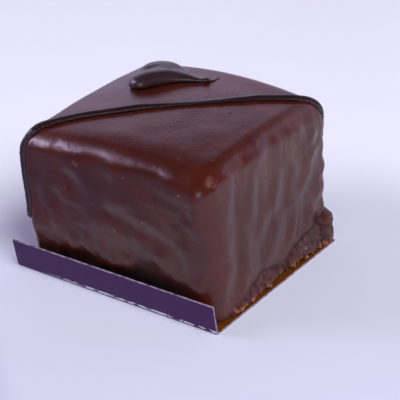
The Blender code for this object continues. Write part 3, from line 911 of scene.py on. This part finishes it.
class Bench:
    """A material or a world in the making, with the one shader that its nodes feed."""

    def __init__(self, owner, shader):
        owner.use_nodes = True
        self.tree = owner.node_tree
        self.shader = self.tree.nodes[shader]

    def node(self, kind, settings, sockets, output=0):
        """Adds a node: its settings first, then the values or links of its sockets."""
        made = self.tree.nodes.new(kind)
        for key, value in settings.items():
            setattr(made, key, value)
        for key, value in sockets.items():
            if isinstance(value, Wire):
                self.tree.links.new(value.socket, made.inputs[key])
            else:
                made.inputs[key].default_value = value
        return Wire(self, made.outputs[output])

    def feed(self, socket, wire):
        self.tree.links.new(wire.socket, self.shader.inputs[socket])

    def ease(self, wire, low, high):
        """0 below low, 1 above high, and a smooth rise between them."""
        settings = {"interpolation_type": "SMOOTHSTEP"}
        sockets = {"Value": wire, "From Min": low, "From Max": high}
        return self.node("ShaderNodeMapRange", settings, sockets, "Result")

    def mix(self, share, a, b):
        return self.node("ShaderNodeMix", {"data_type": "RGBA"}, {0: share, 6: a, 7: b}, 2)

    def part_of(self, wire, axis):
        return self.node("ShaderNodeSeparateXYZ", {}, {0: wire}, axis)

    def along(self, wire, direction):
        """How far a vector reaches in a direction."""
        settings = {"operation": "DOT_PRODUCT"}
        return self.node("ShaderNodeVectorMath", settings, {0: wire, 1: direction}, "Value")


class Finish(Bench):
    """A material in the making, on the piece's own coordinates."""

    def __init__(self, name, **constants):
        self.material = bpy.data.materials.new(name)
        super().__init__(self.material, "Principled BSDF")
        for socket, value in constants.items():
            self.shader.inputs[socket.replace("_", " ")].default_value = value
        self.place = self.node("ShaderNodeTexCoord", {}, {}, "Object")

    def noise(self, size, detail=2.0, roughness=0.5, stretch=None):
        """Noise from 0 to 1 with lumps of a size in metres, drawn out by the stretch."""
        where = self.place
        if stretch:
            settings = {"vector_type": "TEXTURE"}
            where = self.node("ShaderNodeMapping", settings, {"Vector": where, "Scale": stretch})
        sockets = {"Vector": where, "Scale": 1.0 / size, "Detail": detail, "Roughness": roughness}
        return self.node("ShaderNodeTexNoise", {}, sockets, "Fac")

    def cells(self, size, output):
        sockets = {"Vector": self.place, "Scale": 1.0 / size}
        return self.node("ShaderNodeTexVoronoi", {}, sockets, output)

    def bump(self, height, distance, strength=1.0):
        sockets = {"Height": height, "Distance": distance, "Strength": strength}
        self.feed("Normal", self.node("ShaderNodeBump", {}, sockets))

    def measure(self, name):
        return self.node("ShaderNodeAttribute", {"attribute_name": name}, {}, "Fac")

    def greater(self, a, b):
        return self.node("ShaderNodeMath", {"operation": "MAXIMUM"}, {0: a, 1: b})

    def spots(self, middles, radius, axes=(1.0, 1.0, 1.0)):
        """1 at the spots' middles and 0 from their radius on; an axis of 0 is left out."""
        scale = {"operation": "MULTIPLY"}
        place = self.node("ShaderNodeVectorMath", scale, {0: self.place, 1: axes})
        marks = None
        for middle in middles:
            middle = [m * MM * a for m, a in zip(middle, axes)]
            distance = {"operation": "DISTANCE"}
            apart = self.node("ShaderNodeVectorMath", distance, {0: place, 1: middle}, "Value")
            mark = self.ease(apart, radius, 0.35 * radius)
            marks = self.greater(marks, mark) if marks else mark
        return marks


def coating_finish():
    """Milk and dark chocolate under a soft gloss, with pinholes, specks and a torn foot of crumb; shade is
    painted into its hollows, and highlights onto the front corner and the grey crumb.
    """
    finish = Finish("chocolate_coating", Specular_IOR_Level=0.5)
    torn = finish.measure("torn")
    # sunk is 1 in the hollows that get painted shade
    sunk = finish.measure("sunk")
    height = finish.part_of(finish.place, 2)
    on_top = finish.ease(height, *TOP_FROM)
    on_front = finish.ease(finish.part_of(finish.place, 1), *FRONT_FROM)
    on_right = finish.ease(finish.part_of(finish.place, 0), *RIGHT_FROM)

    # Tones of the coating
    patches = finish.noise(11.0 * MM, 3.0)
    flecks = finish.noise(1.6 * MM, 4.0, 0.6)
    body = finish.mix(finish.ease(patches, 0.35, 0.68), COATING_DARK, COATING_LIGHT)
    body = finish.mix(flecks * 0.3, body, COATING_FLECK)
    warm_and_highlight = finish.spots([(x, 0.0, z) for x, z in FRONT_WARM_PATCHES], WARM_PATCH, (1.0, 0.0, 1.0)) * on_front
    # The corner patch is partly a painted highlight
    warm_and_highlight = finish.greater(warm_and_highlight * 0.6, 0.9 * finish.spots([CORNER_WARM_AND_HIGHLIGHT_PATCH], CORNER_WARM_AND_HIGHLIGHT_RADIUS))
    body = finish.mix(warm_and_highlight * finish.ease(finish.noise(1.1 * MM), 0.38, 0.56), body, COATING_WARM_AND_HIGHLIGHT)

    # Marks in the coating
    near = finish.cells(PINHOLE_SPACING, "Distance")
    pick = finish.part_of(finish.cells(PINHOLE_SPACING, "Color"), 0)
    pinholes = finish.ease(near, 0.045, 0.020) * (pick > BARE_SHARE)
    top_holes = finish.spots([(x, y, 0.0) for x, y in TOP_PINHOLES], TOP_PINHOLE, (1.0, 1.0, 0.0))
    right_holes = finish.spots([(0.0, y, z) for y, z in RIGHT_PINHOLES], RIGHT_PINHOLE, (0.0, 1.0, 1.0))
    pinholes = finish.greater(pinholes, finish.greater(top_holes * on_top, right_holes * on_right))
    speck_near = finish.cells(SPECK_SPACING, "Distance")
    speck_pick = finish.part_of(finish.cells(SPECK_SPACING, "Color"), 1)
    specks = finish.ease(speck_near, 0.034, 0.014) * (speck_pick > BARE_SHARE)
    pale = finish.spots([(x, 0.0, z) for x, z in FRONT_PALE_SPECKS], PALE_SPECK, (1.0, 0.0, 1.0))
    specks = finish.greater(specks * 0.5, pale * on_front * 0.6)
    red = finish.spots([(0.0, y, z) for y, z in RIGHT_RED_SPECKS], RED_SPECK, (0.0, 1.0, 1.0))
    body = finish.mix(pinholes * 0.85, body, PINHOLE_DARK)
    body = finish.mix(specks * 0.8, body, SPECK_PALE)
    body = finish.mix(red * on_right, body, SPECK_RED)

    # Torn foot: grey broken crumb with painted highlight spots near the far corner, a light lower rim, and
    # painted shade in the hollows
    along = finish.part_of(finish.place, 1)
    crumb_light = finish.noise(1.9 * MM, 4.0, 0.6)
    rim = finish.ease(height, *CRUMB_RIM_BELOW)
    crumb = finish.mix(finish.ease(crumb_light, 0.36, 0.62), CRUMB_DARK, CRUMB_LIGHT)
    grey = finish.ease(along, *GREY_CRUMB_START) * finish.ease(along, *GREY_CRUMB_END)
    # Pale spots on the grey crumb are painted highlights on its lumps
    broken = finish.mix(finish.ease(finish.noise(1.2 * MM, 3.0, 0.6), 0.55, 0.68), CRUMB_GREY, CRUMB_PAINTED_HIGHLIGHT)
    crumb = finish.mix(grey * finish.ease(height, *GREY_CRUMB_ABOVE), crumb, broken)
    crumb = finish.mix(rim * finish.ease(crumb_light, 0.46, 0.62), crumb, CRUMB_RIM)
    body = finish.mix(torn, body, crumb)
    # Painted shade: the hollows are coloured near black
    finish.feed("Base Color", finish.mix(sunk, body, PAINTED_HOLLOW_SHADE))
    gloss = 0.235 + 0.11 * finish.noise(4.0 * MM, 3.0)
    dull = finish.greater(torn * (0.65 - grey * 0.3), sunk)
    finish.feed("Roughness", gloss + dull * (0.85 - gloss))
    grain = finish.noise(0.75 * MM, 3.0, 0.6) * 0.22
    skin = grain + finish.noise(3.5 * MM, 2.0) * (0.25 + 0.25 * (1.0 - on_top))
    relief = skin - pinholes * 1.1 + specks * 0.5
    rough = crumb_light + finish.noise(0.5 * MM, 3.0, 0.7) * 0.45
    finish.bump(relief + torn * (rough - relief), 0.25 * MM, 0.9)
    return finish.material


def crumb_finish():
    finish = Finish("cake_crumb", Specular_IOR_Level=0.3, Roughness=0.85)
    tone = finish.ease(finish.noise(0.9 * MM, 3.0, 0.6), 0.35, 0.65)
    finish.feed("Base Color", finish.mix(tone, LOOSE_CRUMB_DARK, LOOSE_CRUMB_LIGHT))
    finish.bump(finish.noise(0.3 * MM, 3.0, 0.7), 0.12 * MM)
    return finish.material


def piping_finish(name, shade, index):
    """Dark chocolate, set with a soft gloss that grows with the refractive index."""
    finish = Finish(name, Specular_IOR_Level=0.8, IOR=index)
    tone = finish.noise(2.5 * MM, 3.0)
    dark = tuple(0.75 * c for c in shade)
    finish.feed("Base Color", finish.mix(tone, (*dark, 1.0), (*shade, 1.0)))
    finish.feed("Roughness", 0.30 + 0.14 * finish.noise(1.5 * MM, 2.0))
    finish.bump(finish.noise(0.8 * MM, 3.0) * 0.4 + finish.noise(3.0 * MM, 2.0) * 0.6, 0.15 * MM, 0.6)
    return finish.material


def card_finish():
    """Gold foil inside, purple print outside, and the bare board at the cut edges."""
    finish = Finish("gold_card", Specular_IOR_Level=0.2)
    facing = finish.node("ShaderNodeNewGeometry", {}, {}, "True Normal")
    across, along, up = (finish.part_of(facing, axis) for axis in range(3))
    x, y, z = (finish.part_of(finish.place, axis) for axis in range(3))
    inside = (along + up) > 0.0
    end = (across * across) > 0.25
    lip_edge = (z > LIP_HEIGHT - LIP_EDGE) * (up > 0.6)
    back_edge = (y > 0.0) * (along > 0.6)
    cut = finish.greater(finish.greater(end, lip_edge), back_edge)
    grain = finish.noise(2.2 * MM, 4.0, 0.6)
    fibres = finish.noise(0.6 * MM, 3.0, 0.7, stretch=(3.0, 1.0, 1.0))
    gold = finish.mix(grain, GOLD_DARK, GOLD_LIGHT)
    purple = finish.mix(grain, PURPLE_DARK, PURPLE_LIGHT)
    fold = finish.ease(z, *WORN_BELOW) * finish.ease(z, *WORN_ABOVE)
    worn = fold * finish.ease(finish.noise(1.1 * MM, 3.0, 0.6, stretch=(2.4, 1.0, 1.0)), 0.44, 0.50)
    worn = worn * finish.ease(x, *WORN_FROM)
    purple = finish.mix(worn, purple, WORN_PRINT)
    board = finish.mix(finish.ease(fibres, 0.35, 0.6), BOARD_DARK, BOARD_LIGHT)
    printed = finish.mix(inside, purple, gold)
    finish.feed("Base Color", finish.mix(cut, printed, board))
    foil = inside * (1.0 - cut)
    finish.feed("Metallic", foil * 0.75)
    finish.feed("Roughness", 0.42 + 0.12 * grain + cut * 0.3 - foil * 0.08)
    finish.bump(grain * 0.5 + fibres * 0.25 + worn * 0.3, 0.06 * MM, 0.8)
    return finish.material


def floor_finish():
    """A pale sheet with painted light, a little lighter behind and right of the cake, and painted shade
    where it darkens far in front of it.
    """
    finish = Finish("pale_floor", Roughness=0.9, Specular_IOR_Level=0.1)
    behind = finish.ease(finish.along(finish.place, BEHIND), *BEHIND_FROM)
    sheet = finish.mix(behind, SHEET_NEAR, SHEET_LIT_BEHIND)
    # Painted light: the sheet is lighter far to the right
    right = finish.ease(finish.along(finish.place, FAR_RIGHT), *RIGHT_SHEET_FROM)
    sheet = finish.mix(right, sheet, SHEET_LIT_RIGHT)
    # Painted shade: the sheet darkens far in front of the cake
    shade_in_front = finish.ease(finish.along(finish.place, IN_FRONT), *IN_FRONT_FROM)
    finish.feed("Base Color", finish.mix(shade_in_front, sheet, SHEET_SHADE_IN_FRONT))
    return finish.material


def dress(piece, material, slot, *nodes):
    """Gives a finished piece its material and its place on the cake."""
    piece.data.materials.clear()
    piece.data.materials.append(material)
    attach(piece, "root")
    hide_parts(*nodes)


# Floor, light and camera

def make_floor():
    start_piece()
    bpy.ops.mesh.primitive_plane_add(size=4.0, location=(0.0, 0.0, 0.0))
    floor = name_piece("floor")
    floor.data.materials.append(floor_finish())


def add_softbox(name, direction, distance, width, height, power, colour):
    """An area light that faces the cake from a direction."""
    place = Vector(direction).normalized() * distance + Vector((0.0, 0.0, 20.0 * MM))
    bpy.ops.object.light_add(type="AREA", location=place)
    light = bpy.context.object
    light.name = name
    light.data.shape = "RECTANGLE"
    light.data.size = width
    light.data.size_y = height
    light.data.energy = power
    light.data.color = colour
    light.rotation_mode = "QUATERNION"
    light.rotation_quaternion = Vector(direction).to_track_quat("Z", "Y")
    return light


def set_world():
    """A dim room with a low sheet of light behind the cake, weaker near the horizon and to the left."""
    world = bpy.data.worlds.new("studio")
    bpy.context.scene.world = world
    sky = Bench(world, "Background")
    direction = sky.node("ShaderNodeTexCoord", {}, {}, "Generated")
    up = sky.part_of(direction, 2)
    level = (1.0 - up * up) ** 0.5
    behind = sky.along(direction, SKY_BEHIND) / level
    aside = sky.along(direction, SKY_RIGHT) / level
    glow = sky.ease(up, *GLOW_BELOW) * sky.ease(behind, *GLOW_BEHIND_FROM)
    glow = glow * (1.0 - sky.ease(up, *LOW_LOSS_BELOW) * LOW_LOSS)
    glow = glow * (1.0 - sky.ease(aside, *LEFT_LOSS_FROM) * LEFT_LOSS)
    sky.feed("Color", sky.mix(glow, ROOM_DIM, ROOM_BRIGHT))


def set_light():
    """A large light from the right and above, with two weak ones that gloss the front wall."""
    set_world()
    key = add_softbox(
        "key", direction=(0.672, -0.218, 0.71), distance=1.6, width=0.9, height=0.9,
        power=27.6, colour=(0.90, 0.92, 1.0),
    )
    key.visible_glossy = False
    add_softbox(
        "front_left", direction=(-0.775, -0.45, 0.47), distance=0.8, width=0.32, height=0.11,
        power=2.0, colour=(0.80, 0.67, 1.0),
    )
    add_softbox(
        "low_front", direction=(0.335, -0.919, 0.208), distance=1.2, width=0.34, height=0.10,
        power=1.5, colour=(0.96, 0.90, 1.0),
    )
    view = bpy.context.scene.view_settings
    view.view_transform = "Standard"
    view.look = "None"


def set_camera():
    start_piece()
    bpy.ops.object.camera_add(location=CAMERA_PLACE)
    camera = bpy.context.object
    camera.name = "camera"
    turn = Matrix.Rotation(CAMERA_AZIMUTH, 4, "Z")
    turn @= Matrix.Rotation(math.radians(90.0) - CAMERA_ELEVATION, 4, "X")
    turn @= Matrix.Rotation(CAMERA_ROLL, 4, "Z")
    camera.matrix_world = Matrix.Translation(CAMERA_PLACE) @ turn
    camera.data.lens = CAMERA_LENS
    camera.data.sensor_width = 36.0
    camera.data.clip_start = 0.01
    camera.data.clip_end = 20.0
    bpy.context.scene.camera = camera


def main():
    coating = coating_finish()
    line_chocolate = piping_finish("line_chocolate", LINE_SHADE, 1.47)
    heart_chocolate = piping_finish("heart_chocolate", HEART_SHADE, 1.68)
    dress(make_body(), coating, "chocolate_coating", "gateau")
    dress(make_line(), line_chocolate, "dark_chocolate", "gateau")
    dress(make_heart(), heart_chocolate, "dark_chocolate", "chocolate_heart")
    dress(make_wisp(), heart_chocolate, "dark_chocolate", "chocolate_heart")
    dress(make_crumbs(), crumb_finish(), "chocolate_coating", "gateau")
    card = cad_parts["pastry_card"]
    card.material_slots[0].material = card_finish()
    make_floor()
    set_light()
    set_camera()


main()
